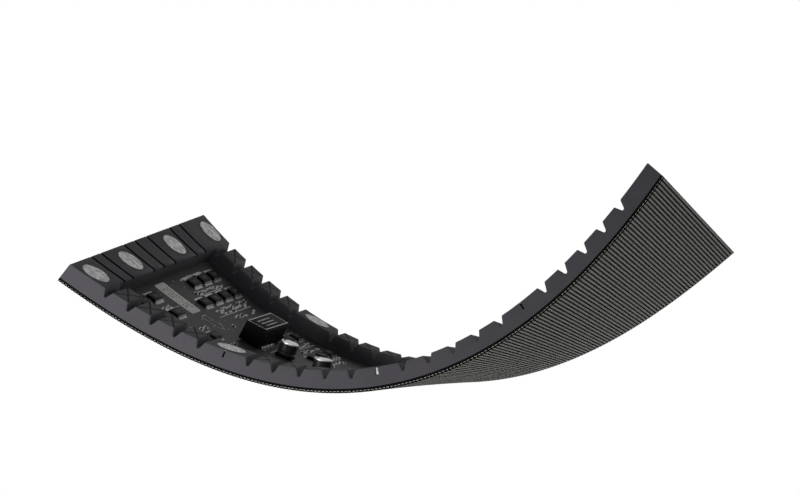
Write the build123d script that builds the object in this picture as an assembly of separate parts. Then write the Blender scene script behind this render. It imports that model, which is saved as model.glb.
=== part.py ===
from build123d import *
import math
import os

os.makedirs("parts", exist_ok=True)

# A flexible LED display module, held in a curve with a little twist. A soft rubber frame with
# toothed rails carries a thin circuit board, and the LED face is on the other side of the board.
# Frame: X along the length, Y across the width, Z up. The hollow side of the curve faces up.
# Millimetres. "along" runs 0 to length, "across" runs 0 to width from the -Y edge,
# and heights are measured from the LED face towards the hollow side.

# ---- the flat module ----
length = 320.0
width = 160.0
led_layer = 1.1
board_thickness = 0.9
thickness = 10.3
rail_width = 18.0
end_bar = 20.6
board_top = led_layer + board_thickness

# ---- the teeth: one notch every 12.5 mm, the first one beside the end bar ----
notch_pitch = length * 12.5 / 320.0
first_notch = length * 22.5 / 320.0
notch_count = 23
notch_top = 4.25
notch_floor = 0.9
notch_depth = 3.9
magnet_notches = (5, 11, 17)
groove_width = 0.8
groove_depth = 0.4

# ---- the magnets ----
magnet_radius = 7.0
magnet_height = 1.5
magnet_proud = 0.15
pocket_play = 0.15
end_magnets_across = (9.0 / 160, 49.0 / 160, 103.0 / 160, 151.0 / 160)
end_grooves_across = (22.5 / 160, 33.0 / 160, 59.0 / 160, 71.5 / 160, 86.0 / 160, 114.0 / 160, 126.5 / 160)
end_groove = 1.8
tab_width = 0.9
tab_depth = 3.3

# ---- the LED face ----
led_rows = 184
led_size = 1.05
led_gap_depth = 0.8

# ---- the curve: degrees of bend and of twist for each millimetre along ----
bend_mean = 0.2837 * 320.0 / length
bend_swing = 0.1407 * 320.0 / length
twist_middle = -0.0679 * 320.0 / length
twist_growth = -0.0237 * 320.0 / length
step = 2.5

# ---- the flexing joints: the module flexes where it is thinnest, at every second notch ----
joint_gap = 0.55

# ---- what is soldered to the board ----
chip_length = 9.9
chip_width = 5.3
chip_height = 1.6
chip_span = 7.8
chip_leads = 8
solder_lift = 0.06
header_length = 37.0
header_width = 11.9
header_height = 10.2
can_radius = 4.6
can_height = 6.4
can_base = 8.6
plug_pitch = 3.96
plug_length = 16.0


def advance(place, along, distance):
    """Walk a short way along the curve: half the turn, the distance, the other half of the turn."""
    u = (along + distance / 2 - length / 2) / (length / 2)
    bend = bend_mean + bend_swing * math.cos(math.pi * u)
    twist = twist_middle + twist_growth * u * u
    half = Location((0, 0, 0), (twist * distance / 2, -bend * distance / 2, 0))
    return place * half * Location((distance, 0, 0)) * half


def walk(distance):
    """Places every few millimetres from the middle of the module to one end."""
    places = [Location((0, 0, 0))]
    count = int(length / 2 / step) + 2
    for i in range(count):
        along = length / 2 + i * distance
        places.append(advance(places[-1], along, distance))
    return places


forward = walk(step)
backward = walk(-step)


def station(along):
    """The place on the LED face at this distance along, level with the curve there."""
    offset = along - length / 2
    whole = int(abs(offset) / step + 1e-6)
    sign = 1 if offset >= 0 else -1
    start = forward[whole] if sign > 0 else backward[whole]
    reached = length / 2 + sign * whole * step
    rest = along - reached
    if abs(rest) < 1e-6:
        return start
    return advance(start, reached, rest)


def spot(along, across, height):
    return station(along) * Location((0, across - width / 2, height))


def seat(along, across, height):
    """A spot that also leans with the twisted surface there, for parts that sit flat on it."""
    u = (along - length / 2) / (length / 2)
    bend = math.radians(bend_mean + bend_swing * math.cos(math.pi * u))
    twist = math.radians(twist_middle + twist_growth * u * u)
    lean = math.atan2((across - width / 2) * twist, 1 - height * bend)
    return spot(along, across, height) * Location((0, 0, 0), (0, -math.degrees(lean), 0))


def strip(start, end, edge, far_edge, low, high, sections=5):
    """A strip that follows the curve, from start to end, between two edges and two heights."""
    faces = []
    for i in range(sections):
        along = start + (end - start) * i / (sections - 1)
        here = spot(along, (edge + far_edge) / 2, (low + high) / 2)
        faces.append(here * Location((0, 0, 0), (0, 90, 0)) * Rectangle(high - low, far_edge - edge))
    return loft(faces)


def cuts():
    """Where the module is divided: the ends, and every second notch."""
    inner = [first_notch + notch_pitch * i for i in range(0, notch_count, 2)]
    return [0.0] + inner + [length]


edges = cuts()
last = len(edges) - 2


def span(k):
    start = edges[k] + (joint_gap / 2 if k > 0 else 0)
    end = edges[k + 1] - (joint_gap / 2 if k < last else 0)
    return start, end


def notch_cutter():
    half = notch_top / 2 * (notch_depth + 1) / notch_depth
    floor = thickness - notch_depth
    profile = Polyline(
        (-half, thickness + 1),
        (-notch_floor / 2, floor),
        (notch_floor / 2, floor),
        (half, thickness + 1),
        close=True,
    )
    face = make_face(Plane.XZ * profile)
    return extrude(face, amount=width, both=True)


def tooth_grooves(along):
    """A fine cross moulded in the back of each tooth, from corner to corner."""
    tooth = notch_pitch - notch_top
    turn = math.degrees(math.atan2(rail_width, tooth))
    groove = Box(math.hypot(rail_width, tooth) + 1, groove_width, groove_depth * 2)
    tools = []
    for across in (rail_width / 2, width - rail_width / 2):
        for way in (-1, 1):
            tools.append(seat(along, across, thickness) * Location((0, 0, 0), (0, 0, way * turn)) * groove)
    return tools


def pocket(along, across):
    radius = magnet_radius + pocket_play
    depth = magnet_height + 0.2
    return seat(along, across, thickness - depth / 2 + 0.5) * Cylinder(radius, depth + 1)


def rail_slot(along, across):
    """The slit in a rail's outer wall that shows the magnet's steel tab."""
    outward = -1 if across < width / 2 else 1
    aside = Location((0, outward * (rail_width / 2 - 3), 0))
    depth = tab_depth + 0.2
    return seat(along, across, thickness - depth / 2 + 0.5) * aside * Box(tab_width + 0.5, 9, depth + 1)


def frame_piece(k):
    start, end = span(k)
    if k == 0 or k == last:
        body = end_bar_piece(k, start, end)
    else:
        near = strip(start, end, 0, rail_width, board_top, thickness)
        far = strip(start, end, width - rail_width, width, board_top, thickness)
        body = near + far
        body = body - rail_details(k)
    return body


def rail_details(k):
    cutter = notch_cutter()
    tools = [station(edges[k]) * cutter, station(edges[k + 1]) * cutter]
    middle = edges[k] + notch_pitch
    notch = (k - 1) * 2 + 1
    if notch in magnet_notches:
        for across in (rail_width / 2, width - rail_width / 2):
            tools.append(pocket(middle, across))
            tools.append(rail_slot(middle, across))
    else:
        tools.append(station(middle) * cutter)
        tools.extend(tooth_grooves(middle - notch_pitch / 2))
        tools.extend(tooth_grooves(middle + notch_pitch / 2))
    return tools


def end_bar_piece(k, start, end):
    """A stiff bar right across the end, with four magnets and seven grooves in its back."""
    body = strip(start, end, 0, width, board_top, thickness)
    inner = end_bar if k == 0 else length - end_bar
    notch = first_notch if k == 0 else length - first_notch
    depth = thickness - board_top + 2
    mouth = spot((inner + notch) / 2, width / 2, (thickness + board_top) / 2)
    reach = abs(notch - inner)
    tools = [
        station(notch) * notch_cutter(),
        mouth * Box(reach, width - 2 * rail_width, depth),
    ]
    middle = end_bar / 2 if k == 0 else length - end_bar / 2
    for share in end_magnets_across:
        tools.append(pocket(middle, share * width))
    for share in end_grooves_across:
        place = seat(middle, share * width, thickness)
        tools.append(place * Location((0, 0, 0), (0, 90, 0)) * Cylinder(end_groove / 2, end_bar + 6))
    return body - tools


def board_piece(k):
    start, end = span(k)
    return strip(start, end, 0, width, led_layer, board_top)


def led_piece(k):
    """The LED side: rows of small square packages with dark gaps between the rows."""
    start, end = span(k)
    body = strip(start, end, 0, width, 0, led_layer)
    pitch = length / led_rows
    tools = []
    for row in range(1, led_rows):
        along = row * pitch
        if start + 0.7 < along < end - 0.7:
            gap = Box(pitch - led_size, width + 2, led_gap_depth * 2)
            tools.append(station(along) * gap)
    return body - tools


def magnet(along, across):
    low = thickness + magnet_proud - magnet_height
    disc = Cylinder(magnet_radius, magnet_height)
    disc = chamfer(disc.edges().group_by(Axis.Z)[-1], 0.25)
    return seat(along, across, low + magnet_height / 2) * disc


def rail_magnet(along, across):
    """A magnet on a steel tab that shows in the rail's outer wall."""
    outward = -1 if across < width / 2 else 1
    disc = magnet(along, across)
    aside = Location((0, outward * (rail_width / 2 - 3.4), 0))
    tab_height = tab_depth - 0.3
    tab = seat(along, across, thickness - 0.3 - tab_height / 2) * aside * Box(tab_width, 6.0, tab_height)
    return disc + tab


def chip():
    """A driver chip: a black body with eight leads on each long side."""
    body = Location((0, 0, chip_height / 2 + 0.1)) * Box(chip_width, chip_length, chip_height - 0.2)
    leads = []
    spacing = chip_length / chip_leads
    for i in range(chip_leads):
        y = (i - (chip_leads - 1) / 2) * spacing
        leads.append(Location((0, y, 0.35)) * Box(chip_span, 0.45, 0.3))
    body = chamfer(body.edges().group_by(Axis.Z)[-1], 0.15)
    return body + leads


def chips(places):
    one = chip()
    return Compound(children=[seat(s, w, board_top + solder_lift) * one for s, w in places])


def can_capacitor():
    """An aluminium can on a square black base."""
    base = Location((0, 0, 0.7)) * Box(can_base, can_base, 1.4)
    can = Location((0, 0, 1.3 + can_height / 2)) * Cylinder(can_radius, can_height)
    can = chamfer(can.edges().group_by(Axis.Z)[-1], 0.4)
    return base + can


def header():
    """The tall box that takes the ribbon cable, on a narrower foot, with one row of pins beside it."""
    foot = Location((1.6, 0, 0.5)) * Box(header_width - 3.6, header_length - 8, 1.0)
    box = Location((0, 0, header_height / 2 + 0.3)) * Box(header_width, header_length, header_height - 0.6)
    box = chamfer(box.edges().group_by(Axis.Z)[-1], 0.3) + foot
    pins = []
    for i in range(8):
        y = (i - 3.5) * 2.54 - 6
        pins.append(Location((header_width / 2 + 0.9, y, 0.75)) * Box(2.2, 0.6, 0.5))
    return box + pins


def power_plug():
    """A four-way power connector: a base with a back wall and four square pins."""
    base = Location((0, 0, 1.5)) * Box(9.0, plug_length, 3.0)
    wall = Location((3.9, 0, 4.5)) * Box(1.2, plug_length, 9.0)
    pins = []
    for i in range(4):
        y = (i - 1.5) * plug_pitch
        pins.append(Location((-1.0, y, 4.5)) * Box(1.1, 1.1, 8.0))
    return base + wall + pins


def label():
    """A paper strip with round-cornered ends, stuck along the board."""
    start = edges[1] + 0.7
    end = edges[2] - 0.6
    return strip(start, end, 63.2 * width / 160, 75.6 * width / 160, board_top + 0.02, board_top + 0.17)


def row(along, places):
    return [(along, share * width) for share in places]


far_three = (101.5 / 160, 115.3 / 160, 129.2 / 160)
far_four = (88.0 / 160, 102.2 / 160, 116.4 / 160, 130.6 / 160)
far_two = (115.6 / 160, 129.6 / 160)
near_two = (35.5 / 160, 49.5 / 160)
middle_one = (70.0 / 160,)

chip_rows = {
    1: row(edges[1] + 7.4, far_three + near_two) + row(edges[2] - 4.3, far_four + near_two),
    2: row(edges[2] + 17.0, near_two),
    3: row(edges[3] + 10.6, far_two),
    4: row(edges[4] + 4.6, far_three + near_two),
    5: row(edges[5] + 4.6, far_three + near_two) + row(edges[6] - 4.6, middle_one),
    6: row(edges[6] + 12.5, far_four),
    7: row(edges[7] + 4.6, far_three + near_two),
    8: row(edges[8] + 4.6, far_three + near_two),
    9: row(edges[9] + 12.5, far_four),
    10: row(edges[10] + 4.6, far_three + near_two),
    11: row(edges[11] + 4.6, far_three + near_two) + row(edges[12] - 5.0, far_three + near_two),
}

nodes = {}
for k in range(last + 1):
    nodes[f"frame_{k:02d}"] = frame_piece(k)
    nodes[f"board_{k:02d}"] = board_piece(k)
    nodes[f"led_face_{k:02d}"] = led_piece(k)

for name, middle in (("end_magnets_left", end_bar / 2), ("end_magnets_right", length - end_bar / 2)):
    discs = [magnet(middle, share * width) for share in end_magnets_across]
    nodes[name] = Compound(children=discs)

for notch in magnet_notches:
    along = first_notch + notch_pitch * notch
    pair = [rail_magnet(along, across) for across in (rail_width / 2, width - rail_width / 2)]
    nodes[f"rail_magnets_{(notch + 1) // 2:02d}"] = Compound(children=pair)

for k, places in chip_rows.items():
    nodes[f"driver_chips_{k:02d}"] = chips(places)

lift = board_top + 0.15
nodes["data_header"] = seat(edges[3] + 4.15, 86.5 * width / 160, lift) * header()
nodes["power_connector"] = seat(edges[9] + 6.5, 70.0 * width / 160, lift) * power_plug()
nodes["capacitor_03"] = seat(edges[4] - 3.8, 77.5 * width / 160, lift) * can_capacitor()
nodes["capacitor_04"] = seat(edges[5] - 6.0, 62.0 * width / 160, lift) * can_capacitor()
nodes["label"] = label()

# The origin is the centre of the outline, level with the lowest point.
box = Compound(children=list(nodes.values())).bounding_box()
shift = Location((-(box.min.X + box.max.X) / 2, -(box.min.Y + box.max.Y) / 2, -box.min.Z))
print("shift", shift.position, "size", box.size)
for name, shape in nodes.items():
    solids = [solid.moved(shift) for solid in shape.solids()]
    piece = solids[0] if len(solids) == 1 else Compound(solids)
    print(name, len(solids), "solids", round(sum(solid.volume for solid in solids)), "mm3")
    export_step(piece, f"parts/{name}.step")
print(len(nodes), "nodes")
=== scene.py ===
# %% [markdown]
# # A flexible LED display module
# The real object is a soft panel for building curved LED walls. A moulded rubber frame with
# toothed rails holds a thin circuit board, and thousands of small LED packages cover the other
# side. The CAD frame gives the exact curve, so every piece here is made in the flat module's own
# measurements (along, across, height, in millimetres) and then carried onto that curve.

# %% Load the CAD frame
import bpy
import math
import random
import numpy as np
from mathutils import Matrix, Vector


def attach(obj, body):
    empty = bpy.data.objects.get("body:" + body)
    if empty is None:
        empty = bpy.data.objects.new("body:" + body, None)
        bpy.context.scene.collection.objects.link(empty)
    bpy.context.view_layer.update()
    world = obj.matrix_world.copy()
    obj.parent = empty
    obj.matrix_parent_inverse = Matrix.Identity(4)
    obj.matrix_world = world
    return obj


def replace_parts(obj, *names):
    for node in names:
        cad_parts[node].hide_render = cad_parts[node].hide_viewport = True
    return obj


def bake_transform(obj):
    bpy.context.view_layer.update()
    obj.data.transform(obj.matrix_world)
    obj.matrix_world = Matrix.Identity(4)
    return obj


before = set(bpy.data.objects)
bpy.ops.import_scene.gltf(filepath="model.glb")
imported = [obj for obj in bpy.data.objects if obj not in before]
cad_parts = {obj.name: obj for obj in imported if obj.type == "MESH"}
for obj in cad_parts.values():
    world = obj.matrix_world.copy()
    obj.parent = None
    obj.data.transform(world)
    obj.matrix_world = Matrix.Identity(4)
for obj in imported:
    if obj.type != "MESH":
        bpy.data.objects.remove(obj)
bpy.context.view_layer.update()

# %% [markdown]
# ## The flat module
# These are the sizes of the CAD model, except that the end bars are 0.2 mm shorter. The rails are
# cut by a notch every 12.5 mm, and the module flexes at every second notch, where the hinges are.

# %% Sizes of the flat module, in millimetres
LENGTH = 320.0
WIDTH = 160.0
THICKNESS = 10.3
BOARD_TOP = 2.0
LED_LAYER = 1.1
RAIL = 18.0
END_BAR = 20.4
NOTCH_PITCH = 12.5
NOTCHES = [22.5 + NOTCH_PITCH * i for i in range(23)]
MAGNET_NOTCHES = (5, 11, 17)
EDGES = [0.0] + NOTCHES[::2] + [LENGTH]
MIDDLES = [(a + b) / 2 for a, b in zip(EDGES, EDGES[1:])]
print("lengths between hinges:", len(MIDDLES))

# %% [markdown]
# ## The curve
# The module is bent with its back inwards and twisted a little. A short walk along it turns by the
# bend and the twist of each millimetre, the same walk as in the CAD model, so both agree.

# %% Walk along the curve
STEP = 2.5


def advance(place, along, distance):
    u = (along + distance / 2 - LENGTH / 2) / (LENGTH / 2)
    bend = 0.2837 + 0.1407 * math.cos(math.pi * u)
    twist = -0.0679 - 0.0237 * u * u
    half = Matrix.Rotation(math.radians(twist * distance / 2), 4, "X")
    half = half @ Matrix.Rotation(math.radians(-bend * distance / 2), 4, "Y")
    return place @ half @ Matrix.Translation((distance, 0, 0)) @ half


def walk(distance):
    places = [Matrix.Identity(4)]
    for i in range(70):
        places.append(advance(places[-1], LENGTH / 2 + i * distance, distance))
    return places


FORWARD, BACKWARD = walk(STEP), walk(-STEP)
stations = {}


def station(along):
    """The place on the LED face at this distance along."""
    key = round(along, 3)
    if key not in stations:
        offset = key - LENGTH / 2
        whole = int(abs(offset) / STEP + 1e-6)
        start = FORWARD[whole] if offset >= 0 else BACKWARD[whole]
        reached = LENGTH / 2 + math.copysign(whole * STEP, offset)
        stations[key] = advance(start, reached, key - reached)
    return stations[key]


def place_of(along, across, height=0.0):
    """The matrix of a spot on the module, in metres, standing on the floor."""
    spot = station(along) @ Matrix.Translation((0, across - WIDTH / 2, height))
    place = spot.copy()
    place.translation = (spot.translation + Vector((0, 0, LIFT))) / 1000
    return place


# %% Stand the curve on the floor
lowest = min((station(s * 1.0) @ Vector((0, w, 0))).z for s in range(100, 221) for w in (-80, 80))
LIFT = -lowest

# %% [markdown]
# ## From flat to curved
# `curved` carries a whole list of flat points onto the curve at once.

# %% Carry flat points onto the curve
def curved(points):
    flat = np.asarray(points, float).reshape(-1, 3)
    stops, which = np.unique(np.round(flat[:, 0], 3), return_inverse=True)
    places = np.array([station(float(s)) for s in stops])[which.reshape(-1)]
    local = np.stack([np.zeros(len(flat)), flat[:, 1] - WIDTH / 2, flat[:, 2], np.ones(len(flat))], 1)
    out = np.einsum("nij,nj->ni", places[:, :3], local)
    out[:, 2] += LIFT
    return out / 1000


class Shape:
    """Collects flat corners and faces before they become one mesh."""

    def __init__(self):
        self.corners, self.faces, self.finish = [], [], []

    def add(self, corners, faces, finish=0):
        base = len(self.corners)
        self.corners.extend(corners)
        self.faces.extend([tuple(i + base for i in face) for face in faces])
        self.finish.extend([finish] * len(faces))


def build(name, shape, finishes, sharp=32):
    """A Blender object from a flat shape. Its UV is along and across, in metres."""
    flat = np.asarray(shape.corners, float)
    mesh = bpy.data.meshes.new(name)
    mesh.from_pydata(curved(flat).tolist(), [], shape.faces)
    for finish in finishes:
        mesh.materials.append(finish)
    mesh.polygons.foreach_set("material_index", shape.finish)
    loops = np.empty(len(mesh.loops), np.int32)
    mesh.loops.foreach_get("vertex_index", loops)
    layer = mesh.uv_layers.new(name="flat")
    layer.data.foreach_set("uv", (flat[loops, :2] / 1000).astype(np.float32).ravel())
    mesh.shade_smooth()
    mesh.set_sharp_from_angle(angle=math.radians(sharp))
    obj = bpy.data.objects.new(name, mesh)
    bpy.context.scene.collection.objects.link(obj)
    return obj


# %% [markdown]
# ## Colours and nodes
# Colours are written as the sRGB values that a paint card would give, and turned to the linear
# values that the shader needs. One small function adds a node with its settings and links.

# %% Colour and node helpers
def colour(code):
    parts = [int(code[i:i + 2], 16) / 255 for i in (1, 3, 5)]
    linear = [c / 12.92 if c <= 0.04045 else ((c + 0.055) / 1.055) ** 2.4 for c in parts]
    return (*linear, 1.0)


def add_node(material, kind, settings=None, links=None):
    tree = material.node_tree
    node = tree.nodes.new(kind)
    for key, value in (settings or {}).items():
        if isinstance(key, str) and hasattr(node, key):
            setattr(node, key, value)
        else:
            node.inputs[key].default_value = value
    for key, source in (links or {}).items():
        tree.links.new(source, node.inputs[key])
    return node


def new_material(name, base, rough, metal=0.0, **more):
    material = bpy.data.materials.new(name)
    material.use_nodes = True
    shader = material.node_tree.nodes["Principled BSDF"]
    shader.inputs["Base Color"].default_value = colour(base)
    shader.inputs["Roughness"].default_value = rough
    shader.inputs["Metallic"].default_value = metal
    for socket, value in more.items():
        shader.inputs[socket.replace("_", " ")].default_value = value
    return material, shader


def ramp(material, source, stops):
    node = add_node(material, "ShaderNodeValToRGB", links={0: source})
    elements = node.color_ramp.elements
    while len(elements) < len(stops):
        elements.new(0.5)
    for element, (at, code) in zip(elements, stops):
        element.position = at
        element.color = colour(code)
    return node.outputs[0]


# %% [markdown]
# ## Moulded rubber
# The frame is EPDM rubber filled with carbon black, pressed in a spark-eroded steel mould. The
# mould leaves a fine even grain, about 0.1 mm, which is drawn at 0.5 mm here so that it shows.
# The eye gets a soft dark grey with a broad sheen, a little uneven where the mould was rubbed.

# %% Moulded rubber
rubber, shader = new_material("moulded_epdm_rubber", "#39373b", 0.62, IOR=1.52, Specular_IOR_Level=0.25)
coords = add_node(rubber, "ShaderNodeTexCoord").outputs["Object"]
cloud = add_node(rubber, "ShaderNodeTexNoise", {"Scale": 1000 / 14, "Detail": 4.0}, {"Vector": coords})
grain = add_node(rubber, "ShaderNodeTexNoise", {"Scale": 1000 / 0.5, "Detail": 2.0}, {"Vector": coords})
tone = ramp(rubber, cloud.outputs[0], [(0.3, "#343236"), (0.7, "#3e3c41")])
rubber.node_tree.links.new(tone, shader.inputs["Base Color"])
sheen = add_node(rubber, "ShaderNodeMapRange", {"From Min": 0.3, "From Max": 0.7, "To Min": 0.55,
                 "To Max": 0.7}, {"Value": cloud.outputs[0]})
rubber.node_tree.links.new(sheen.outputs[0], shader.inputs["Roughness"])
bump = add_node(rubber, "ShaderNodeBump", {"Strength": 0.35, "Distance": 0.00008},
                {"Height": grain.outputs[0]})
rubber.node_tree.links.new(bump.outputs[0], shader.inputs["Normal"])
print("made", rubber.name)

# %% [markdown]
# ## Circuit board
# The board is glass-epoxy laminate with a matt black solder mask, screen printed and cured. Copper
# tracks about 0.3 mm wide lie under the mask and lift it a few hundredths of a millimetre, so they
# show as faint lines. The lines follow the flat module, so they are drawn from the UV.

# %% Circuit board
board, shader = new_material("matt_black_solder_mask", "#1d1d1f", 0.5, IOR=1.5, Specular_IOR_Level=0.3)
flat_uv = add_node(board, "ShaderNodeUVMap", {"uv_map": "flat"}).outputs[0]
cells = add_node(board, "ShaderNodeMapping", {"Scale": (1000 / 5.0, 1000 / 1.3, 1.0)}, {"Vector": flat_uv})
tracks = add_node(board, "ShaderNodeTexBrick", {"Scale": 1.0, "Mortar Size": 0.07, "Mortar Smooth": 0.3,
                  "Color1": colour("#000000"), "Color2": colour("#4a4a4a"), "Mortar": colour("#ffffff")},
                  {"Vector": cells.outputs[0]})
patch = add_node(board, "ShaderNodeTexNoise", {"Scale": 1000 / 30, "Detail": 3.0}, {"Vector": flat_uv})
mask = add_node(board, "ShaderNodeMix", {"data_type": "RGBA", "blend_type": "MULTIPLY", 0: 0.8},
                {6: tracks.outputs[0], 7: patch.outputs[0]})
tone = ramp(board, mask.outputs[2], [(0.0, "#1b1b1d"), (0.25, "#232326"), (0.6, "#38383c")])
board.node_tree.links.new(tone, shader.inputs["Base Color"])
bump = add_node(board, "ShaderNodeBump", {"Strength": 0.5, "Distance": 0.00004},
                {"Height": tracks.outputs[0]})
board.node_tree.links.new(bump.outputs[0], shader.inputs["Normal"])
print("made", board.name)

# %% [markdown]
# ## LED packages
# Each LED is a white moulded package with a black printed front and a small clear window over its
# three chips. The packages stand 1.74 mm apart. The pattern repeats at that pitch: a dark border
# about 0.2 mm wide, a grey-green window, and a pale dot for the bond wires. A slow warm and cool
# drift over about 40 mm is the batch variation between packages.

# %% LED package front
PITCH = LENGTH / 184
led_front, shader = new_material("led_epoxy_window", "#6c6d66", 0.42, IOR=1.5)
flat_uv = add_node(led_front, "ShaderNodeUVMap", {"uv_map": "flat"}).outputs[0]
cells = add_node(led_front, "ShaderNodeMapping", {"Scale": (1000 / PITCH, 1000 / PITCH, 1.0)},
                 {"Vector": flat_uv})
inside = add_node(led_front, "ShaderNodeVectorMath", {"operation": "FRACTION"}, {0: cells.outputs[0]})
centred = add_node(led_front, "ShaderNodeVectorMath", {"operation": "SUBTRACT", 1: (0.5, 0.5, 0.0)},
                   {0: inside.outputs[0]})
away = add_node(led_front, "ShaderNodeVectorMath", {"operation": "LENGTH"}, {0: centred.outputs[0]})
window = ramp(led_front, away.outputs["Value"], [(0.0, "#85867b"), (0.07, "#58594f"), (0.24, "#484940"),
                                                (0.30, "#2a2a26")])
drift = add_node(led_front, "ShaderNodeTexNoise", {"Scale": 1000 / 45, "Detail": 1.0}, {"Vector": flat_uv})
warm = ramp(led_front, drift.outputs[0], [(0.4, "#e9ede2"), (0.6, "#f2e6df")])
tint = add_node(led_front, "ShaderNodeMix", {"data_type": "RGBA", "blend_type": "MULTIPLY", 0: 1.0},
                {6: window, 7: warm})
led_front.node_tree.links.new(tint.outputs[2], shader.inputs["Base Color"])

# %% LED package sides and the sheet between them
led_side, shader = new_material("white_moulded_led_package", "#dddcd6", 0.5, IOR=1.55)
spots = add_node(led_side, "ShaderNodeTexNoise", {"Scale": 1000 / 2.0}, {"Vector": add_node(
    led_side, "ShaderNodeTexCoord").outputs["Object"]})
led_side.node_tree.links.new(ramp(led_side, spots.outputs[0], [(0.35, "#cfcec8"), (0.65, "#ecebe5")]),
                             shader.inputs["Base Color"])
# Black print between the LEDs. The same black finish is also painted shade in the rail slits, the end bars'
# groove floors and the sides of inner LED packages.
black_print_and_shade, shader = new_material("black_print_and_painted_shade", "#070707", 0.8, IOR=1.5, Specular_IOR_Level=0.05)
speck = add_node(black_print_and_shade, "ShaderNodeTexNoise", {"Scale": 1000 / 0.8}, {"Vector": add_node(
    black_print_and_shade, "ShaderNodeTexCoord").outputs["Object"]})
black_print_and_shade.node_tree.links.new(ramp(black_print_and_shade, speck.outputs[0], [(0.3, "#040404"), (0.7, "#0a0a0a")]),
                              shader.inputs["Base Color"])
print("made", led_front.name, led_side.name, black_print_and_shade.name)

# %% [markdown]
# ## Metals
# The magnets are neodymium discs plated with nickel in a barrel, which leaves small dull knocks a
# couple of millimetres across. The chip leads and pins are tinned. The capacitor cans are drawn
# aluminium. Metals keep the default IOR, and their look comes from colour and roughness.

# %% Plated and drawn metals
def knocked_metal(name, dark, pale, rough, size):
    material, shader = new_material(name, pale, rough, 1.0)
    coords = add_node(material, "ShaderNodeTexCoord").outputs["Object"]
    knocks = add_node(material, "ShaderNodeTexNoise", {"Scale": 1000 / size, "Detail": 5.0,
                      "Roughness": 0.65}, {"Vector": coords})
    tone = ramp(material, knocks.outputs[0], [(0.35, dark), (0.62, pale)])
    material.node_tree.links.new(tone, shader.inputs["Base Color"])
    worn = add_node(material, "ShaderNodeMapRange", {"From Min": 0.3, "From Max": 0.7, "To Min": rough + 0.12,
                    "To Max": rough - 0.08}, {"Value": knocks.outputs[0]})
    material.node_tree.links.new(worn.outputs[0], shader.inputs["Roughness"])
    bump = add_node(material, "ShaderNodeBump", {"Strength": 0.3, "Distance": 0.00005},
                    {"Height": knocks.outputs[0]})
    material.node_tree.links.new(bump.outputs[0], shader.inputs["Normal"])
    return material


nickel = knocked_metal("barrel_plated_nickel", "#8a898a", "#d2d1d1", 0.36, 2.2)
tin = knocked_metal("tinned_copper_alloy", "#d2d2d4", "#f6f6f6", 0.32, 0.8)
aluminium = knocked_metal("drawn_aluminium", "#dcdde0", "#fafafc", 0.45, 1.5)
print("made", nickel.name, tin.name, aluminium.name)

# %% [markdown]
# ## Plastics, paper and ink
# Chips are black epoxy moulded with a faint satin grain. The header and the sockets are black
# nylon, and the cans wear a dark printed sleeve. The label is matt synthetic paper. The board's
# lettering layer is screen-printed white ink. No words are printed: short bars stand for them.

# %% Plastics, paper and ink
def speckled(name, dark, pale, rough, size, **more):
    material, shader = new_material(name, pale, rough, **more)
    coords = add_node(material, "ShaderNodeTexCoord").outputs["Object"]
    noise = add_node(material, "ShaderNodeTexNoise", {"Scale": 1000 / size, "Detail": 3.0},
                     {"Vector": coords})
    material.node_tree.links.new(ramp(material, noise.outputs[0], [(0.35, dark), (0.65, pale)]),
                                 shader.inputs["Base Color"])
    bump = add_node(material, "ShaderNodeBump", {"Strength": 0.4, "Distance": 0.00003},
                    {"Height": noise.outputs[0]})
    material.node_tree.links.new(bump.outputs[0], shader.inputs["Normal"])
    return material


chip_epoxy = speckled("moulded_chip_epoxy", "#060607", "#0b0b0c", 0.5, 0.5, IOR=1.5, Specular_IOR_Level=0.12)
nylon = speckled("black_moulded_nylon", "#020202", "#050505", 0.6, 0.7, IOR=1.53, Specular_IOR_Level=0.06)
paper = speckled("matt_synthetic_paper", "#dad9d6", "#eeedea", 0.7, 0.6, IOR=1.45)
ink = speckled("screen_printed_white_ink", "#dededc", "#fafaf8", 0.6, 0.35, IOR=1.5)
faint_ink = speckled("laser_marking_on_epoxy", "#3a3a3b", "#555557", 0.6, 0.3, IOR=1.5)
ceramic = speckled("fired_ceramic_body", "#2b2724", "#3a3430", 0.4, 0.4, IOR=1.6)
sleeve = speckled("printed_can_sleeve", "#232325", "#2f2f31", 0.35, 0.5, IOR=1.5)
print("made", chip_epoxy.name, nylon.name, paper.name, ink.name)

# %% [markdown]
# ## Spans between the hinges
# Each flexible piece is cut into spans. The cuts meet at places that don't bend, so nothing opens up
# when the module unrolls.

# %% Spans between two lengths
def span_limits(k):
    start = 0.0 if k == 0 else MIDDLES[k]
    end = LENGTH if k == 11 else MIDDLES[k + 1]
    return start, end


def flex(piece, k):
    """Bake the placement into the piece's mesh. The ends of span k are worked out but not used."""
    low = END_BAR + 0.2 if k == 0 else MIDDLES[k]
    high = LENGTH - END_BAR - 0.2 if k == 11 else MIDDLES[k + 1]
    start = place_of(low, WIDTH / 2, 4.0).translation
    end = place_of(high, WIDTH / 2, 4.0).translation
    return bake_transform(piece)


def loft(shape, rings, finish=0, closed=True, caps=(False, False)):
    """Faces between rings of corners that all have the same number of corners."""
    base = len(shape.corners)
    count = len(rings[0])
    for ring in rings:
        shape.corners.extend(ring)
    reach = count if closed else count - 1
    for i in range(len(rings) - 1):
        for j in range(reach):
            a, b = base + i * count + j, base + i * count + (j + 1) % count
            shape.faces.append((a, b, b + count, a + count))
            shape.finish.append(finish)
    for wanted, i in zip(caps, (0, len(rings) - 1)):
        if wanted:
            ring = list(range(base + i * count, base + (i + 1) * count))
            shape.faces.append(tuple(ring[::-1] if i == 0 else ring))
            shape.finish.append(finish)


# %% [markdown]
# ## The toothed rails
# The rails are moulded with V-shaped notches between blunt teeth, and each tooth's back carries a
# fine moulded cross from corner to corner. The rail is one section, a rounded rectangle with two
# grooves in its back, drawn at many stations along. From station to station its top height
# changes, and over a tooth the two grooves cross. Blocks with a magnet have a slit instead.

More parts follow.
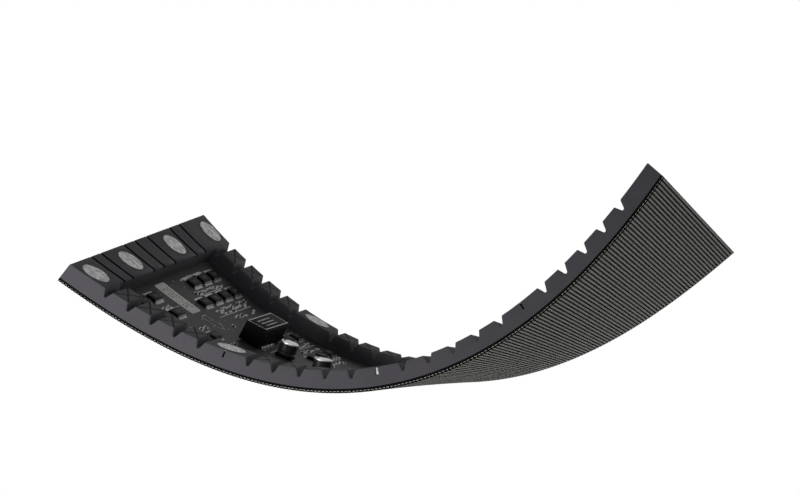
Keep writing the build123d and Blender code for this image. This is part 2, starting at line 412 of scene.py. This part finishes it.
# %% Heights of the teeth along the rails
NOTCH_WALL = [(-2.35, 10.3), (-2.15, 10.24), (-2.0, 10.02), (-0.62, 6.65), (-0.35, 6.42), (0.0, 6.4),
              (0.35, 6.42), (0.62, 6.65), (2.0, 10.02), (2.15, 10.24), (2.35, 10.3)]
CROSS_STOPS = [-3.9, -3.2, -2.4, -1.6, -0.8, 0.0, 0.8, 1.6, 2.4, 3.2, 3.9]
SLITS = {5: 0.46, 11: 0.71, 17: 0.46}


def rail_levels():
    levels = {END_BAR: 10.1, LENGTH - END_BAR: 10.1}
    for i, centre in enumerate(NOTCHES):
        if i in MAGNET_NOTCHES:
            for offset in (-8, -6, -4, -2, 0, 2, 4, 6, 8):
                levels[round(centre + offset, 3)] = THICKNESS
            continue
        for offset, height in NOTCH_WALL:
            if END_BAR < centre + offset < LENGTH - END_BAR:
                levels[round(centre + offset, 3)] = height
        if i not in MAGNET_NOTCHES and i + 1 not in MAGNET_NOTCHES and i < 22:
            for offset in CROSS_STOPS:
                levels[round(centre + NOTCH_PITCH / 2 + offset, 3)] = THICKNESS
        for offset in (4.2, 8.3):
            if i < 22:
                levels.setdefault(round(centre + offset, 3), THICKNESS)
    for i in MAGNET_NOTCHES:
        for offset in (SLITS[i] + 0.01, SLITS[i] - 0.01):
            levels[round(NOTCHES[i] - offset, 3)] = THICKNESS
            levels[round(NOTCHES[i] + offset, 3)] = THICKNESS
    return sorted(levels.items())


LEVELS = rail_levels()
print("stations along the rails:", len(LEVELS))


# %% The rail's section
GROOVE_SLOPE = 2.0
GROOVE_REACH = 7.5
GROOVE_DEPTH = 0.8
CROSSING = [(-1.9, 0), (-1.3, 0.5), (-0.8, 0.9), (-0.2, 1), (0.2, 1), (0.8, 0.9), (1.3, 0.5), (1.9, 0)]
ONE_GROOVE = [(-0.9, 0), (-0.3, 1), (0.3, 1), (0.9, 0)]


def tooth_back(along, top):
    """The two grooves in the rail's back: apart beside the tooth's middle, and crossing there."""
    tooth = min(NOTCHES[:-1], key=lambda notch: abs(notch + NOTCH_PITCH / 2 - along)) + NOTCH_PITCH / 2
    by_magnet = any(abs(along - NOTCHES[i]) < 12.4 for i in MAGNET_NOTCHES)
    grooved = top > 10.28 and abs(along - tooth) < 3.95 and not by_magnet
    depth = GROOVE_DEPTH if grooved else 0.0
    shift = max(-GROOVE_REACH, min(GROOVE_REACH, (along - tooth) * GROOVE_SLOPE))
    if abs(shift) < 1.0:
        return [(RAIL / 2 + offset, top - depth * deep) for offset, deep in CROSSING]
    return [(at + offset, top - depth * deep) for at in sorted((RAIL / 2 - shift, RAIL / 2 + shift))
            for offset, deep in ONE_GROOVE]


def outer_edge(along, top, low):
    """The rail's outer wall. A slit shows the magnet's steel tab, and only the middle one is deep."""
    if any(abs(along - NOTCHES[i]) < half for i, half in SLITS.items()):
        wall = [(0.45, low), (0.45, 9.2), (0.5, 9.8)]
        if abs(along - LENGTH / 2) > 1:
            wall = [(0.3, low), (0.3, 9.2), (0.3, 9.8)]
        return [(0.0, 2.0), (0.0, low)] + wall + [(2.2, 9.85), (2.3, top)]
    return [(0.0, 2.0), (0.0, low), (0.0, top - 0.4), (0.1, top - 0.12), (0.38, top), (0.45, top), (0.5, top)]


def rail_ring(along, top, outer, way):
    """The section of a rail. way is 1 for the near rail and -1 for the far one."""
    low = min(6.7, top - 0.9)
    inner = [(17.62, top), (17.9, top - 0.12), (18.0, top - 0.4), (18.0, low), (18.0, 2.0)]
    section = outer_edge(along, top, low) + tooth_back(along, top) + inner
    ring = [(along, outer + way * across, height) for across, height in section]
    return ring if way > 0 else ring[::-1]


RAIL_CORNERS = len(rail_ring(30.0, THICKNESS, 0.0, 1))


def paint_slit_shade(shape, base, levels, way):
    """The faces inside the two shallow slits get the black finish, as painted shade in the slits."""
    for i in range(len(levels) - 1):
        middle = (levels[i][0] + levels[i + 1][0]) / 2
        if min(abs(middle - NOTCHES[5]), abs(middle - NOTCHES[17])) < SLITS[5]:
            for j in range(1, 6):
                shape.finish[base + i * RAIL_CORNERS + (j if way > 0 else RAIL_CORNERS - 2 - j)] = 1


def rails(k):
    start, end = span_limits(k)
    levels = [(s, h) for s, h in LEVELS if start - 0.001 <= s <= end + 0.001]
    shape = Shape()
    for outer, way in ((0.0, 1), (WIDTH, -1)):
        base = len(shape.faces)
        loft(shape, [rail_ring(s, h, outer, way) for s, h in levels])
        # The two shallow slits get painted shade in the black finish.
        paint_slit_shade(shape, base, levels, way)
    piece = build(f"rails_{k:02d}", shape, [rubber, black_print_and_shade])
    flex(piece, k)
    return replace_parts(piece, f"frame_{k:02d}", f"frame_{k + 1:02d}")


all_rails = [rails(k) for k in range(12)]
print("rails made:", len(all_rails))

# %% [markdown]
# ## The end bars
# A stiff bar closes each end. Its back has seven grooves, whose floors are given the black finish as
# painted shade, and four magnets lie in it. The section runs right across the module, grooves and all.

# %% End bars
GROOVES = (22.5, 33.0, 59.0, 71.5, 86.0, 114.0, 126.5)
MAGNETS_ACROSS = (9.0, 49.0, 103.0, 151.0)
GROOVE_SECTION = [(-1.15, 0), (-1.0, 0.1), (-0.85, 0.85), (0, 1.1), (0.85, 0.85), (1.0, 0.1), (1.15, 0)]


def bar_ring(along, top):
    near = [(0.0, 2.0), (0.0, top - 0.4), (0.1, top - 0.12), (0.38, top)]
    ribs = [(groove + offset, top - drop) for groove in GROOVES for offset, drop in GROOVE_SECTION]
    far = [(WIDTH - across, height) for across, height in near[::-1]]
    return [(along, across, height) for across, height in near + ribs + far]


def end_bar(name, node, body, outer, way):
    steps = [(0.0, 9.9), (0.12, 10.18), (0.4, 10.3), (3.5, 10.3), (7.0, 10.3), (10.3, 10.3), (13.5, 10.3),
             (17.0, 10.3), (20.0, 10.3), (20.28, 10.18), (20.4, 9.9)]
    rings = [bar_ring(outer + way * s, h) for s, h in steps]
    shape = Shape()
    loft(shape, rings if way > 0 else rings[::-1], caps=(True, True))
    count = len(rings[0])
    # The groove floors get the black finish as painted shade.
    for i in range(len(rings) - 1):
        for groove in range(len(GROOVES)):
            for j in range(5, 9):
                shape.finish[i * count + groove * len(GROOVE_SECTION) + j] = 1
    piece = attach(build(name, shape, [rubber, black_print_and_shade]), body)
    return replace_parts(piece, node)


end_bar("end_bar_left", "frame_00", "seg_00", 0.0, 1)
end_bar("end_bar_right", "frame_12", "seg_12", LENGTH, -1)
print("end bars made")

# %% [markdown]
# ## Seats and magnets
# The magnets are dropped into round seats, and the rubber around each one rises a little where it
# was squeezed. The discs themselves are the CAD nodes, which already have the right shape, so they
# only get the nickel finish. The raised rim is a thin ring of rubber, slightly uneven.

# %% Magnets and their rims
def circle(along, across, radius, height, corners=40, wobble=0.0, seed=1):
    chance = random.Random(seed)
    offsets = [chance.uniform(-wobble, wobble) for i in range(corners)]
    ring = []
    for i in range(corners):
        turn = 2 * math.pi * i / corners
        reach = radius + (offsets[i] + offsets[i - 1]) / 2
        ring.append((along + reach * math.cos(turn), across + reach * math.sin(turn), height))
    return ring


def rims(name, body, places):
    shape = Shape()
    for i, (along, across) in enumerate(places):
        rings = [circle(along, across, radius, height, wobble=wobble, seed=i + 7)
                 for radius, height, wobble in ((7.05, 9.9, 0), (7.05, 10.42, 0.03), (7.3, 10.56, 0.08),
                                                (7.6, 10.46, 0.1), (7.95, 10.25, 0.1))]
        loft(shape, rings)
    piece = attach(build(name, shape, [rubber], sharp=60), body)
    return piece


def give(node, *finishes):
    """Put finishes on a CAD node's own material slots."""
    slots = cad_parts[node].material_slots
    for i, slot in enumerate(slots):
        slot.link = "OBJECT"
        slot.material = finishes[min(i, len(finishes) - 1)]


rims("magnet_rims_left", "seg_00", [(10.3, w) for w in MAGNETS_ACROSS])
rims("magnet_rims_right", "seg_12", [(LENGTH - 10.3, w) for w in MAGNETS_ACROSS])
for k in (3, 6, 9):
    rims(f"magnet_rims_{k:02d}", f"seg_{k:02d}", [(MIDDLES[k], 9.0), (MIDDLES[k], 151.0)])
for node in ("end_magnets_left", "end_magnets_right", "rail_magnets_03", "rail_magnets_06",
             "rail_magnets_09"):
    give(node, nickel)
print("magnets finished")

# %% [markdown]
# ## The board and the LED side
# The board is a thin strip between the rails and the LEDs, with black cut sides. The LED packages
# are drawn one by one: 184 rows of 92, each a small square body that narrows a little towards its
# front. All packages are alike, but only the outermost columns show their white sides. The sides of
# the rest are given the black finish, as painted shade for the dark gaps they stand in.

# %% Board strips
def grid(start, end, gap=2.5):
    count = max(1, round((end - start) / gap))
    return [start + (end - start) * i / count for i in range(count + 1)]


def board_span(k):
    start, end = span_limits(k)
    shape = Shape()
    rings = []
    for s in grid(start, end):
        rings.append([(s, 0.0, LED_LAYER), (s, 0.0, 1.95), (s, 0.05, BOARD_TOP), (s, 40, BOARD_TOP),
                      (s, 80, BOARD_TOP), (s, 120, BOARD_TOP), (s, 159.95, BOARD_TOP), (s, 160, 1.95),
                      (s, 160, LED_LAYER), (s, 120, LED_LAYER), (s, 80, LED_LAYER), (s, 40, LED_LAYER)])
    loft(shape, rings, caps=(k == 0, k == 11))
    for i in range(len(rings) - 1):
        for j in (0, 1, 7):
            shape.finish[i * 12 + j] = 1
    piece = build(f"board_strip_{k:02d}", shape, [board, black_print_and_shade])
    flex(piece, k)
    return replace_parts(piece, f"board_{k:02d}", f"board_{k + 1:02d}")


boards = [board_span(k) for k in range(12)]
print("board strips made:", len(boards))

# %% LED packages
COLUMNS = 92
HALF = 0.525
RING = [(-HALF, -HALF), (HALF, -HALF), (HALF, HALF), (-HALF, HALF)]
PACKAGE = ([(x, y, 1.0) for x, y in RING] + [(x, y, 0.7) for x, y in RING]
           + [(x * 0.93, y * 0.93, 0.02) for x, y in RING])
PACKAGE_FACES = [(j, (j + 1) % 4, (j + 1) % 4 + 4, j + 4) for j in range(4)]
PACKAGE_FACES += [(a + 4, b + 4, c + 4, d + 4) for a, b, c, d in PACKAGE_FACES] + [(8, 9, 10, 11)]
PACKAGE_FINISH = [0] * 4 + [2] * 4 + [1]
# Inner packages: all sides in the black finish, painted shade for the gaps between packages.
SHADED_SIDES_FINISH = [2] * 8 + [1]


def led_span(k):
    start, end = span_limits(k)
    rows = [i for i in range(184) if start <= (i + 0.5) * PITCH < end]
    shape = Shape()
    for row in rows:
        for column in range(COLUMNS):
            s, w = (row + 0.5) * PITCH, (column + 0.5) * WIDTH / COLUMNS
            shape.add([(s + x, w + y, h) for x, y, h in PACKAGE], [face[::-1] for face in PACKAGE_FACES])
            # Only the outer columns keep white upper sides. All other packages get painted shade on their
            # sides.
            outside = column in (0, COLUMNS - 1)
            shape.finish[-9:] = PACKAGE_FINISH if outside else SHADED_SIDES_FINISH
    section = [(0.1, 0.85), (0.1, 1.1), (159.9, 1.1), (159.9, 0.85), (159.55, 0.85), (159.55, 0.1),
               (159.4, 0.1), (159.4, 0.85), (80, 0.85), (0.6, 0.85), (0.6, 0.1), (0.45, 0.1), (0.45, 0.85)]
    rings = [[(s, w, h) for w, h in section] for s in grid(start, end)]
    loft(shape, rings, finish=2, caps=(k == 0, k == 11))
    piece = build(f"led_rows_{k:02d}", shape, [led_side, led_front, black_print_and_shade])
    flex(piece, k)
    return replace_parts(piece, f"led_face_{k:02d}", f"led_face_{k + 1:02d}")


leds = [led_span(k) for k in range(12)]
print("LED packages:", 184 * COLUMNS)

# %% [markdown]
# ## Small moulded blocks
# Chips, sockets and small parts are all blocks with eased edges. A block is a stack of rings, so
# that its sides can taper as a moulded part's sides do, to let it out of the mould.

# %% Blocks, chips and leads
def block(shape, along, across, base, size, ease=0.15, draft=0.05, finish=0):
    """A moulded block: size is along, across and high."""
    a, b, high = size[0] / 2, size[1] / 2, size[2]
    rings = []
    for inset, height in ((ease * 0.6 + draft, 0), (draft, ease), (draft * 0.6, high / 2),
                          (draft, high - ease), (draft + ease * 0.35, high - ease * 0.3),
                          (draft + ease, high)):
        x, y = a - inset, b - inset
        rings.append([(along + x * i, across + y * j, base + height)
                      for i, j in ((-1, -1), (1, -1), (1, 1), (-1, 1))])
    loft(shape, rings, finish, caps=(True, True))


def bar(shape, along, across, base, size, finish):
    """A flat printed bar or a pad, a few hundredths thick."""
    a, b, high = size[0] / 2, size[1] / 2, size[2]
    rings = [[(along + a * i, across + b * j, base + h) for i, j in ((-1, -1), (1, -1), (1, 1), (-1, 1))]
             for h in (0, high)]
    loft(shape, rings, finish, caps=(True, True))


def gull_wing(shape, along, across, side, base, finish):
    """A tinned lead that comes out of the body, steps down and lies on its pad."""
    path = [(2.55, 0.85), (2.95, 0.84), (3.15, 0.62), (3.25, 0.34), (3.4, 0.2), (3.9, 0.16)]
    rings = []
    for x, h in path:
        upper, lower = along + side * x, along + side * (x + 0.03)
        rings.append([(upper, across - 0.21, base + h), (upper, across + 0.21, base + h),
                      (lower, across + 0.21, base + h - 0.16), (lower, across - 0.21, base + h - 0.16)])
    loft(shape, rings, finish, caps=(True, True))
    bar(shape, along + side * 3.75, across, BOARD_TOP + 0.01, (1.3, 0.66, 0.05), finish)


def chip(shape, along, across):
    base = BOARD_TOP + 0.14
    block(shape, along, across, base, (5.3, 9.9, 1.45), 0.12, 0.08)
    dimple = [circle(along - 1.9, across - 4.0, r, base + 1.47, 12) for r in (0.38, 0.3)]
    loft(shape, dimple, 2, caps=(False, True))
    for i in range(8):
        y = across + (i - 3.5) * 9.9 / 8
        gull_wing(shape, along, y, 1, base, 1)
        gull_wing(shape, along, y, -1, base, 1)
    for row, (start, width) in enumerate(((-2.2, 5.0), (-1.6, 4.0))):
        bar(shape, along - 0.5 + row, across + start + width / 2, base + 1.45, (0.45, width, 0.015), 2)


# %% [markdown]
# ## Rows of driver chips
# The LED drivers stand in rows of up to six. A row sits just beside a hinge or in the middle of a
# length. All the chips of one length are one piece, because they always move together.

# %% Driver chips
FAR3, FAR4, FAR2 = (101.5, 115.3, 129.2), (88.0, 102.2, 116.4, 130.6), (115.6, 129.6)
NEAR2 = (35.5, 49.5)
CHIP_ROWS = {
    1: [(EDGES[1] + 7.4, FAR3 + NEAR2), (EDGES[2] - 4.3, FAR4 + NEAR2)],
    2: [(EDGES[2] + 17.0, NEAR2)],
    3: [(EDGES[3] + 10.6, FAR2)],
    4: [(EDGES[4] + 4.6, FAR3 + NEAR2)],
    5: [(EDGES[5] + 4.6, FAR3 + NEAR2), (EDGES[6] - 4.6, (70.0,))],
    6: [(EDGES[6] + 12.5, FAR4)],
    7: [(EDGES[7] + 4.6, FAR3 + NEAR2)],
    8: [(EDGES[8] + 4.6, FAR3 + NEAR2)],
    9: [(EDGES[9] + 12.5, FAR4)],
    10: [(EDGES[10] + 4.6, FAR3 + NEAR2)],
    11: [(EDGES[11] + 4.6, FAR3 + NEAR2), (EDGES[12] - 5.0, FAR3 + NEAR2)],
}
for k, lines in CHIP_ROWS.items():
    shape = Shape()
    for along, places in lines:
        for across in places:
            chip(shape, along, across)
    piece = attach(build(f"chips_{k:02d}", shape, [chip_epoxy, tin, faint_ink]), f"seg_{k:02d}")
    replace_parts(piece, f"driver_chips_{k:02d}")
print("chips:", sum(len(places) for lines in CHIP_ROWS.values() for along, places in lines))

# %% [markdown]
# ## The tall header
# The tallest part is a black nylon box on a narrower foot, which takes the flat cable. Its lid
# carries a white printed frame and three lines of print, shown here as short bars. A row of tinned
# pins comes out beside it.

# %% Header box
s, w, base = EDGES[3] + 4.15, 86.5, BOARD_TOP + 0.15
shape = Shape()
block(shape, s + 1.6, w, base, (8.3, 29.0, 1.0), 0.2, 0.05)
block(shape, s, w, base + 0.6, (11.6, 36.8, 9.6), 0.3, 0.08)
for i in range(9):
    for side in (-1, 1):
        block(shape, s + side * 5.7, w + (i - 4) * 4.1, base + 1.1, (0.45, 0.9, 7.6), 0.1, 0.02)
top = base + 10.2
for side in (-1, 1):
    bar(shape, s + side * 5.1, w, top, (0.6, 35.8, 0.02), 1)
    bar(shape, s, w + side * 17.7, top, (9.8, 0.6, 0.02), 1)
chance = random.Random(3)
for row in (-2.2, 0.2, 2.5):
    at = w - 11.0
    while at < w + 7:
        width = chance.choice((0.5, 0.9, 1.3))
        bar(shape, s + row, at + width / 2, top, (0.8, width, 0.02), 1)
        at += width + 0.6
PIN_PATH = ((5.5, 1.1), (6.2, 1.08), (6.5, 0.6), (6.8, 0.35), (7.9, 0.3))
for i in range(8):
    y = w + (i - 3.5) * 2.54 - 6
    loft(shape, [[(s + x, y - 0.32, base + h), (s + x, y + 0.32, base + h), (s + x, y + 0.32, base + h - 0.3),
                  (s + x, y - 0.32, base + h - 0.3)] for x, h in PIN_PATH], 2, caps=(True, True))
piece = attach(build("header_box", shape, [nylon, ink, tin]), "seg_03")
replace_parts(piece, "data_header")
print("header made")

# %% [markdown]
# ## Power socket
# A four-way power socket stands near the other end: a nylon base with a friction wall behind four
# square pins, which are tinned brass with pointed tips.

# %% Power socket
s, w = EDGES[9] + 6.5, 70.0
shape = Shape()
block(shape, s, w, base, (9.0, 16.0, 3.0), 0.25, 0.06)
block(shape, s + 3.9, w, base + 2.9, (1.2, 16.0, 6.1), 0.25, 0.06)
for side in (-1, 1):
    block(shape, s + 3.2, w + side * 5.6, base + 2.9, (0.9, 1.2, 5.4), 0.15, 0.04)
for i in range(4):
    y = w + (i - 1.5) * 3.96
    block(shape, s - 1.0, y, base + 2.8, (1.1, 1.1, 5.6), 0.3, 0.02, 1)
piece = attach(build("power_socket", shape, [nylon, tin]), "seg_09")
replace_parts(piece, "power_connector")
print("power socket made")

# %% [markdown]
# ## Aluminium can capacitors
# Each can is deep drawn, crimped near its foot and wears a dark sleeve, so bare aluminium shows only
# on top, where a dark printed segment marks the negative side. Its square nylon base has two
# corners cut off.

# %% Capacitors
def capacitor(k, along, across):
    shape = Shape()
    foot = BOARD_TOP + 0.15
    outline = [(-4.3, -4.3), (4.3, -4.3), (4.3, 2.7), (2.7, 4.3), (-2.7, 4.3), (-4.3, 2.7)]
    loft(shape, [[(along + x * f, across + y * f, foot + h) for x, y in outline]
                 for f, h in ((0.97, 0), (1, 0.15), (1, 1.2), (0.95, 1.4))], 0, caps=(True, True))
    crimp = [(4.5, 1.35), (4.6, 1.7), (4.58, 2.1), (4.3, 2.4), (4.3, 2.55), (4.58, 2.85), (4.6, 3.1)]
    crown = [(4.6, 6.9), (4.58, 7.2), (4.5, 7.45), (4.3, 7.6), (4.0, 7.66), (3.0, 7.68)]
    loft(shape, [circle(along, across, r, foot + h, 44) for r, h in crimp], 3)
    loft(shape, [circle(along, across, r, foot + h, 44) for r, h in ((4.6, 3.1), (4.6, 5.0), (4.6, 6.9))], 3)
    loft(shape, [circle(along, across, r, foot + h, 44) for r, h in crown], 1, caps=(False, True))
    segment = [(along + 3.7 * math.cos(t), across + 3.7 * math.sin(t), foot + 7.7)
               for t in [math.pi * 0.75 + math.pi * 0.5 * i / 10 for i in range(11)]]
    shape.add(segment, [tuple(range(11))], 0)
    for side in (-1, 1):
        bar(shape, along + side * 4.2, across, BOARD_TOP + 0.02, (1.2, 1.6, 0.2), 2)
    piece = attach(build(f"can_{k:02d}", shape, [nylon, aluminium, tin, sleeve]), f"seg_{k:02d}")
    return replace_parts(piece, f"capacitor_{k:02d}")


capacitor(3, EDGES[4] - 3.8, 77.5)
capacitor(4, EDGES[5] - 6.0, 62.0)
print("capacitors made")

# %% [markdown]
# ## The label
# A strip of matt synthetic paper with slightly rounded corners lies along the board. Its three
# printed lines are shown as short dark bars, so no real code or name is copied.

# %% Label
black_ink = speckled("thermal_printed_ink", "#1c1c1c", "#303030", 0.7, 0.3, IOR=1.5)
start, end, low, high = 23.3, 46.8, 63.4, 75.4
shape = Shape()
rings = []
for s in [start, start + 0.15, start + 0.5, start + 1.2] + grid(start + 1.2, end - 1.2)[1:-1] + [
        end - 1.2, end - 0.5, end - 0.15, end]:
    near = min(s - start, end - s, 1.2)
    inset = 1.2 - math.sqrt(max(0.0, 1.44 - (1.2 - near) ** 2)) + 0.02
    rings.append([(s, low + inset, 2.03), (s, low + inset, 2.17), (s, high - inset, 2.17),
                  (s, high - inset, 2.03)])
loft(shape, rings, caps=(True, True))
chance = random.Random(5)
for line in (66.6, 69.4, 72.2):
    at = start + 3.0 + chance.random()
    while at < end - 4:
        width = chance.choice((0.6, 0.9, 1.3))
        if chance.random() < 0.75:
            bar(shape, at + width / 2, line, 2.17, (width, 0.9, 0.015), 1)
        at += width + 0.55
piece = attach(build("board_label", shape, [paper, black_ink]), "seg_01")
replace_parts(piece, "label")
print("label made")

# %% [markdown]
# ## Printed lines and small parts
# White ink lines mark out the board, and an arrow points along it. Between the chip rows lie small
# ceramic resistors and capacitors with tinned ends. Ink that crosses a hinge is cut into short
# pieces, grouped by length like the board, while each small part rides on one length.

# %% White ink
LINES = [(25.2, 95, 25.2, 118, 0.6), (87.3, 74, 87.3, 100, 0.5), (38.2, 94, 38.2, 126, 0.35),
         (54.5, 84, 54.5, 131, 0.35), (66.5, 88, 66.5, 133, 0.45),
         (50, 68.2, 58.2, 68.2, 0.3), (50, 73.8, 58.2, 73.8, 0.3), (58.2, 68.2, 58.2, 66.4, 0.3),
         (58.2, 73.8, 58.2, 75.6, 0.3), (58.2, 66.4, 62.4, 71, 0.3), (58.2, 75.6, 62.4, 71, 0.3),
         (50, 68.2, 50, 73.8, 0.3), (39.5, 52, 39.5, 62, 0.3), (92, 110, 92, 136, 0.35),
         (108, 92, 108, 132, 0.35), (134, 84, 134, 134, 0.35), (152, 60, 152, 100, 0.35),
         (170, 84, 170, 134, 0.35), (190, 30, 190, 62, 0.35), (214, 84, 214, 134, 0.35),
         (243, 40, 243, 90, 0.35), (262, 84, 262, 134, 0.35), (285, 60, 285, 130, 0.35)]
ink_shapes = [Shape() for k in range(12)]


def which_span(along):
    return next(k for k in range(12) if along <= span_limits(k)[1] + 1e-6)


def ink_line(s0, w0, s1, w1, thick):
    length = math.hypot(s1 - s0, w1 - w0)
    count = max(1, math.ceil(length / 2.5))
    side = ((w1 - w0) / length * thick / 2, -(s1 - s0) / length * thick / 2)
    for i in range(count):
        a, b = i / count, (i + 1) / count
        ends = [(s0 + (s1 - s0) * t, w0 + (w1 - w0) * t) for t in (a, b)]
        corners = [(ends[0][0] + side[0], ends[0][1] + side[1]), (ends[1][0] + side[0], ends[1][1] + side[1]),
                   (ends[1][0] - side[0], ends[1][1] - side[1]), (ends[0][0] - side[0], ends[0][1] - side[1])]
        shape = ink_shapes[which_span((ends[0][0] + ends[1][0]) / 2)]
        shape.add([(x, y, BOARD_TOP + 0.025) for x, y in corners], [(0, 1, 2, 3)])


for line in LINES:
    ink_line(*line)

# %% Small parts between the chip rows
chance = random.Random(11)
small = {k: Shape() for k in range(1, 12)}


def small_part(along, across, turned):
    k = next(i for i in range(13) if along < EDGES[i + 1])
    nearest = min(abs(along - edge) for edge in EDGES)
    if k not in small or nearest < 1.3:
        return
    size = (0.85, 1.6) if turned else (1.6, 0.85)
    shape = small[k]
    block(shape, along, across, BOARD_TOP + 0.06, (*size, 0.55), 0.06, 0.01, 0)
    for side in (-1, 1):
        x, y = (0, side * 0.72) if turned else (side * 0.72, 0)
        end_size = (0.9, 0.45, 0.6) if turned else (0.45, 0.9, 0.6)
        block(shape, along + x, across + y, BOARD_TOP + 0.04, end_size, 0.05, 0.0, 1)
        pad = (1.1, 0.7, 0.05) if turned else (0.7, 1.1, 0.05)
        bar(shape, along + x * 1.2, across + y * 1.2, BOARD_TOP + 0.015, pad, 1)
    return True


ROWS = [(26.0, 93, 121), (36.8, 92, 128), (50.5, 88, 132), (53.0, 92, 128), (58.5, 96, 130), (62.5, 84, 88),
        (90.5, 112, 134), (95.5, 104, 132), (107.5, 96, 134), (112.0, 98, 130), (132.5, 96, 134),
        (139.0, 90, 130), (152.0, 88, 132), (167.0, 88, 132), (183.0, 96, 134), (189.0, 30, 60),
        (207.5, 96, 134), (213.0, 30, 60), (227.0, 88, 132), (242.0, 88, 132), (257.5, 96, 134),
        (262.5, 30, 60), (283.0, 96, 134), (38.0, 30, 56), (57.5, 30, 58), (74.0, 40, 60), (110.0, 28, 52),
        (134.0, 28, 56), (258.0, 28, 56), (284.5, 28, 56)]
count = 0
for along, first, final in ROWS:
    at = first + chance.uniform(0, 2)
    while at < final:
        if chance.random() < 0.8 and small_part(along + chance.choice((-0.6, 0, 0.6)), at,
                                                chance.random() < 0.6):
            count += 1
        at += chance.choice((2.2, 2.8, 4.0))
print("small parts:", count)

# %% Solder dots and pads
for i in range(260):
    along, across = chance.uniform(24, 296), chance.uniform(21, 139)
    radius = chance.choice((0.22, 0.22, 0.3))
    shape = ink_shapes[which_span(along)]
    shape.add(circle(along, across, radius, BOARD_TOP + 0.02, 8), [tuple(range(8))], 1)
for k, shape in enumerate(ink_shapes):
    piece = build(f"board_ink_{k:02d}", shape, [ink, tin])
    flex(piece, k)
for k, shape in small.items():
    if shape.faces:
        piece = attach(build(f"small_parts_{k:02d}", shape, [ceramic, tin]), f"seg_{k:02d}")
print("ink pieces:", len(ink_shapes))

# %% [markdown]
# ## Studio
# One soft light in front lights the near rail's side, most of all near its left end. The room gives
# a weak light from all around, which keeps the black parts inside black, and its white walls are
# brighter in reflections, so that metals shine. The sheet below throws light up on the LED side. It
# is hidden from the camera, so that only plain white surrounds the module.

# %% Floor, world and lights
mesh = bpy.data.meshes.new("floor")
mesh.from_pydata([(-30, -30, -0.0002), (30, -30, -0.0002), (30, 30, -0.0002), (-30, 30, -0.0002)],
                 [], [(0, 1, 2, 3)])
floor = bpy.data.objects.new("floor", mesh)
bpy.context.scene.collection.objects.link(floor)
white, shader = new_material("white_paper_sweep", "#ffffff", 0.9)
shader.inputs["Emission Color"].default_value = colour("#ffffff")
shader.inputs["Emission Strength"].default_value = 0.85
floor.data.materials.append(white)
floor.visible_camera = False

world = bpy.data.worlds.new("soft_studio")
bpy.context.scene.world = world
world.use_nodes = True
backdrop = world.node_tree.nodes["Background"]
backdrop.inputs[0].default_value = (1, 1, 1, 1)
room = world.node_tree.nodes.new("ShaderNodeBackground")
room.inputs[0].default_value = (1, 1, 1, 1)
room.inputs[1].default_value = 0.2
mirrored = world.node_tree.nodes.new("ShaderNodeBackground")
mirrored.inputs[0].default_value = (1, 1, 1, 1)
mirrored.inputs[1].default_value = 0.5
seen = world.node_tree.nodes.new("ShaderNodeLightPath")
shine = world.node_tree.nodes.new("ShaderNodeMixShader")
world.node_tree.links.new(seen.outputs["Is Glossy Ray"], shine.inputs[0])
world.node_tree.links.new(room.outputs[0], shine.inputs[1])
world.node_tree.links.new(mirrored.outputs[0], shine.inputs[2])
choose = world.node_tree.nodes.new("ShaderNodeMixShader")
world.node_tree.links.new(seen.outputs["Is Camera Ray"], choose.inputs[0])
world.node_tree.links.new(shine.outputs[0], choose.inputs[1])
world.node_tree.links.new(backdrop.outputs[0], choose.inputs[2])
world.node_tree.links.new(choose.outputs[0], world.node_tree.nodes["World Output"].inputs[0])


def soft_light(name, at, aim, size, watts, spread=180.0):
    light = bpy.data.lights.new(name, "AREA")
    light.size = size
    light.spread = math.radians(spread)
    light.energy = watts
    obj = bpy.data.objects.new(name, light)
    bpy.context.scene.collection.objects.link(obj)
    obj.location = at
    obj.rotation_euler = (Vector(aim) - Vector(at)).to_track_quat("-Z", "Y").to_euler()
    return obj


soft_light("front_light", (-0.36, -0.5, 0.13), (-0.09, -0.08, 0.02), 0.15, 0.19, 50.0)

# %% [markdown]
# ## Camera
# The camera looks at the module from the front and almost level with the floor, through a long
# lens, so the near rail runs across the picture and the LED side shows where the module rises.

# %% Camera
lens = bpy.data.cameras.new("camera")
lens.sensor_width = 36.0
lens.lens = 107.04
camera = bpy.data.objects.new("camera", lens)
bpy.context.scene.collection.objects.link(camera)
camera.location = (0.241434, -1.101014, 0.015344)
camera.rotation_euler = [math.radians(a) for a in (92.639, 3.0014, 12.7324)]
bpy.context.scene.camera = camera
bpy.context.scene.view_settings.view_transform = "Standard"
print("camera set")
